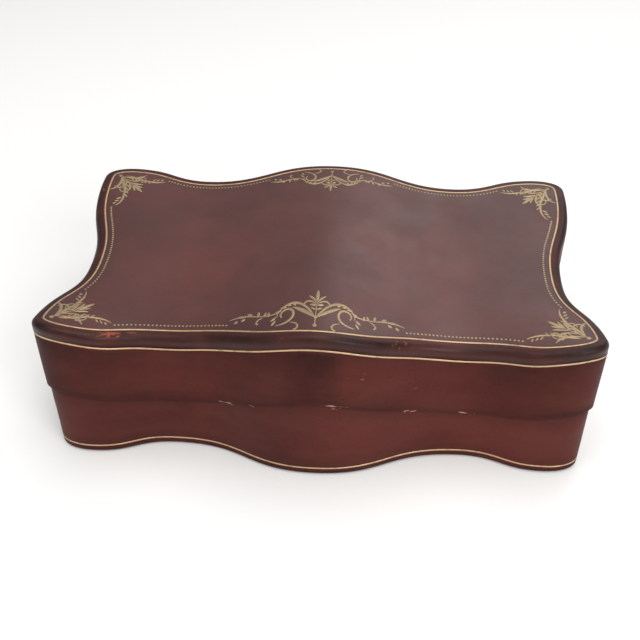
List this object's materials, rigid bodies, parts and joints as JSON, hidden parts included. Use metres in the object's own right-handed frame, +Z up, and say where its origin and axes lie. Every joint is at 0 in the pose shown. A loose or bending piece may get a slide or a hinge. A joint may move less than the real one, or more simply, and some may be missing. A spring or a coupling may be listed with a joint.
{
  "type": "leather jewellery case",
  "caption": "Serpentine clam-shell jewellery case in gilt-lined oxblood leather over wood, with a hinged wavy lid and a velvet-lined divided interior.",
  "frame": {"origin": "middle of the leather underside, on the surface that the case stands on", "axes": "+Z up, +X along the length to the right, front towards -Y, hinge towards +Y"},
  "size_m": [0.3, 0.2014, 0.0998],
  "materials": {
    "oxblood_leather": "waxed calf leather with fine grain, burnished dark edges and thin gilt tooled lines",
    "underside_leather": "matt skiver leather",
    "carcass_wood": "plain sanded bent wood",
    "velvet": "short pile cotton velvet",
    "satin": "padded silk satin",
    "brass": "aged satin brass"
  },
  "bodies": {
    "base": {"base_underside_leather": "underside_leather", "base_board": "carcass_wood", "base_wall": "carcass_wood", "base_side_leather": "oxblood_leather", "base_wall_lining": "velvet", "long_divider": "velvet", "left_divider": "velvet", "right_divider": "velvet", "left_floor_pad": "velvet", "middle_floor_pad": "velvet", "right_floor_pad": "velvet", "ring_roll_1": "velvet", "ring_roll_2": "velvet", "ring_roll_3": "velvet", "hinge_base_leaf": "brass", "hinge_pin": "brass", "base_hinge_screw_1": "brass", "base_hinge_screw_2": "brass", "base_hinge_screw_3": "brass"},
    "lid": {"lid_top_leather": "oxblood_leather", "lid_board": "carcass_wood", "lid_wall": "carcass_wood", "lid_side_leather": "oxblood_leather", "lid_wall_lining": "velvet", "lid_pad": "satin", "hinge_lid_leaf": "brass", "lid_hinge_screw_1": "brass", "lid_hinge_screw_2": "brass", "lid_hinge_screw_3": "brass"}
  },
  "joints": [
    {"name": "lid_hinge", "type": "hinge", "parent": "base", "child": "lid", "pos_m": [0, 0.101, 0.0458], "axis": [-1, 0, 0], "range_deg": [0, 100]}
  ]
}
